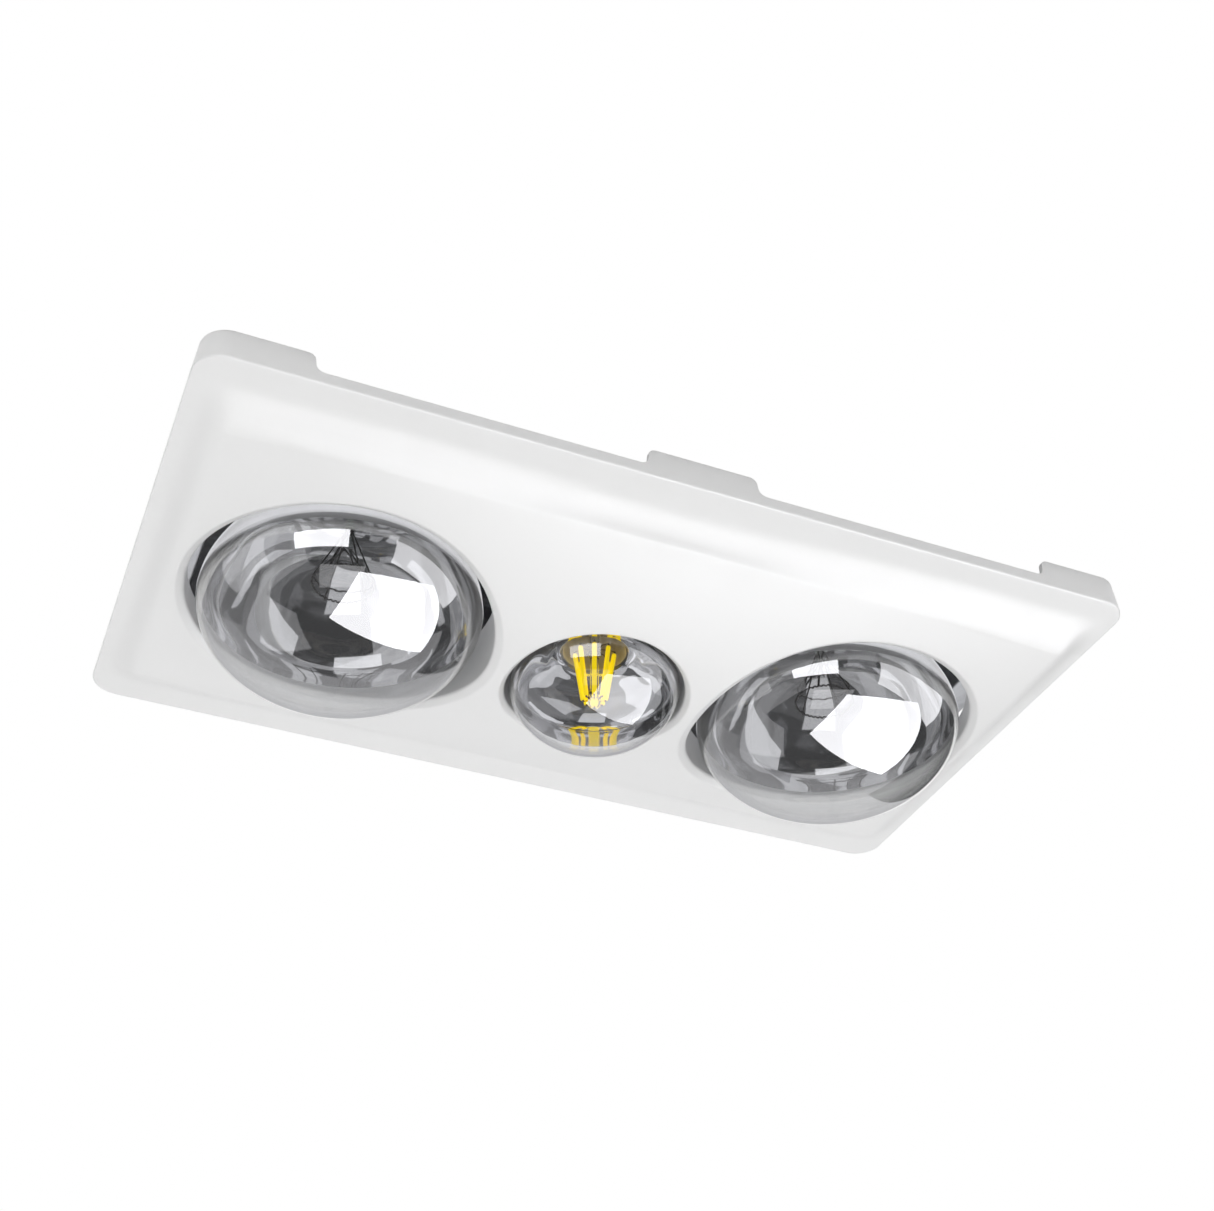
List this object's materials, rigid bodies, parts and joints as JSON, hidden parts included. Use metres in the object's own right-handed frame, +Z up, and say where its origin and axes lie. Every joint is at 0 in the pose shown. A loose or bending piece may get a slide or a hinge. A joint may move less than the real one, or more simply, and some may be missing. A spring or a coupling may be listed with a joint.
{
  "type": "ceiling exhaust fan with light and heat lamps",
  "caption": "Ceiling unit with a moulded fascia round two reflector heat lamps and a light, over a steel tray with a centrifugal exhaust fan and duct adaptor.",
  "frame": {"origin": "middle of the ceiling cut-out, in the plane of the ceiling's underside", "axes": "+X along the fascia's long side, +Y across it, +Z up into the ceiling"},
  "size_m": [0.43, 0.265, 0.3028],
  "materials": {
    "white_moulding": "smooth white injection moulding, soft sheen",
    "tray_steel": "coated sheet steel",
    "zinc_plate": "zinc-plated sheet",
    "lamp_glass": "clear glass, silvered behind",
    "cap_nickel": "plated lamp cap",
    "stem_glass": "clear lamp stem glass",
    "filament_wire": "dark drawn wire",
    "led_phosphor": "yellow phosphor coating",
    "holder_ceramic": "glazed ceramic",
    "shell_brass": "pressed brass",
    "grey_moulding": "light grey moulding",
    "impeller_moulding": "black moulding",
    "rotor_iron": "turned iron",
    "core_laminations": "stacked steel laminations",
    "coil_winding": "enamelled winding",
    "bright_steel": "bright steel",
    "flap_moulding": "thin light moulding",
    "box_moulding": "black moulding",
    "block_moulding": "off-white moulding"
  },
  "bodies": {
    "housing": {"housing_tray": "tray_steel", "fascia_clip_1": "zinc_plate", "fascia_clip_2": "zinc_plate", "fascia_clip_3": "zinc_plate", "fascia_clip_4": "zinc_plate", "heat_lamp_left_holder": "holder_ceramic", "heat_lamp_left_holder_shell": "shell_brass", "heat_lamp_left_bracket": "zinc_plate", "heat_lamp_right_holder": "holder_ceramic", "heat_lamp_right_holder_shell": "shell_brass", "heat_lamp_right_bracket": "zinc_plate", "centre_lamp_holder": "holder_ceramic", "centre_lamp_holder_shell": "shell_brass", "centre_lamp_bracket": "zinc_plate", "fan_scroll": "grey_moulding", "inlet_ring": "grey_moulding", "motor_plate": "zinc_plate", "motor_plate_screw_1": "bright_steel", "motor_plate_screw_2": "bright_steel", "motor_plate_screw_3": "bright_steel", "motor_plate_screw_4": "bright_steel", "motor_core": "core_laminations", "motor_coil": "coil_winding", "bearing_bridge_upper": "zinc_plate", "bearing_bridge_lower": "zinc_plate", "duct_adaptor": "grey_moulding", "flap_pin_upper": "bright_steel", "flap_pin_lower": "bright_steel", "terminal_box": "box_moulding", "terminal_cover": "box_moulding", "terminal_block": "block_moulding", "cable_gland": "box_moulding", "clamp_screw_1": "bright_steel", "clamp_screw_2": "bright_steel", "clamp_screw_3": "bright_steel", "clamp_screw_4": "bright_steel"},
    "fascia": {"fascia": "white_moulding"},
    "fan_wheel": {"impeller": "impeller_moulding", "motor_shaft": "bright_steel", "motor_rotor": "rotor_iron"},
    "upper_flap": {"draught_flap_upper": "flap_moulding"},
    "lower_flap": {"draught_flap_lower": "flap_moulding"},
    "left_heat_lamp": {"heat_lamp_glass_left": "lamp_glass", "heat_lamp_cap_left": "cap_nickel", "heat_lamp_stem_left": "stem_glass", "heat_lamp_filament_left": "filament_wire"},
    "right_heat_lamp": {"heat_lamp_glass_right": "lamp_glass", "heat_lamp_cap_right": "cap_nickel", "heat_lamp_stem_right": "stem_glass", "heat_lamp_filament_right": "filament_wire"},
    "centre_lamp": {"centre_lamp_glass": "lamp_glass", "centre_lamp_cap": "cap_nickel", "centre_lamp_stem": "stem_glass", "centre_lamp_led_filaments": "led_phosphor"},
    "clamp_1": {"clamp_arm_1": "zinc_plate"},
    "clamp_2": {"clamp_arm_2": "zinc_plate"},
    "clamp_3": {"clamp_arm_3": "zinc_plate"},
    "clamp_4": {"clamp_arm_4": "zinc_plate"}
  },
  "joints": [
    {"name": "fascia_pull_down", "type": "slide", "parent": "housing", "child": "fascia", "axis": [0, 0, -1], "range_m": [0, 0.06]},
    {"name": "fan_spin", "type": "hinge", "parent": "housing", "child": "fan_wheel", "pos_m": [0, 0.008, 0.157], "axis": [0, 0, 1], "continuous": true},
    {"name": "upper_flap_swing", "type": "hinge", "parent": "housing", "child": "upper_flap", "pos_m": [0.1016, -0.0706, 0.1833], "axis": [0, -1, 0], "range_deg": [0, 60]},
    {"name": "lower_flap_swing", "type": "hinge", "parent": "housing", "child": "lower_flap", "pos_m": [0.1016, -0.0706, 0.1549], "axis": [0, -1, 0], "range_deg": [0, 60]},
    {"name": "left_heat_lamp_turn", "type": "hinge", "parent": "housing", "child": "left_heat_lamp", "pos_m": [-0.12235, 0, 0.09], "axis": [0, 0, 1], "continuous": true},
    {"name": "right_heat_lamp_turn", "type": "hinge", "parent": "housing", "child": "right_heat_lamp", "pos_m": [0.12235, 0, 0.09], "axis": [0, 0, 1], "continuous": true},
    {"name": "centre_lamp_turn", "type": "hinge", "parent": "housing", "child": "centre_lamp", "pos_m": [0, 0, 0.03], "axis": [0, 0, 1], "continuous": true},
    {"name": "clamp_1_swing", "type": "hinge", "parent": "housing", "child": "clamp_1", "pos_m": [-0.15, -0.1005, 0.0183], "axis": [0, 0, 1], "range_deg": [0, 90]},
    {"name": "clamp_2_swing", "type": "hinge", "parent": "housing", "child": "clamp_2", "pos_m": [-0.15, 0.1005, 0.0183], "axis": [0, 0, -1], "range_deg": [0, 90]},
    {"name": "clamp_3_swing", "type": "hinge", "parent": "housing", "child": "clamp_3", "pos_m": [0.15, -0.1005, 0.0183], "axis": [0, 0, -1], "range_deg": [0, 90]},
    {"name": "clamp_4_swing", "type": "hinge", "parent": "housing", "child": "clamp_4", "pos_m": [0.15, 0.1005, 0.0183], "axis": [0, 0, 1], "range_deg": [0, 90]}
  ]
}
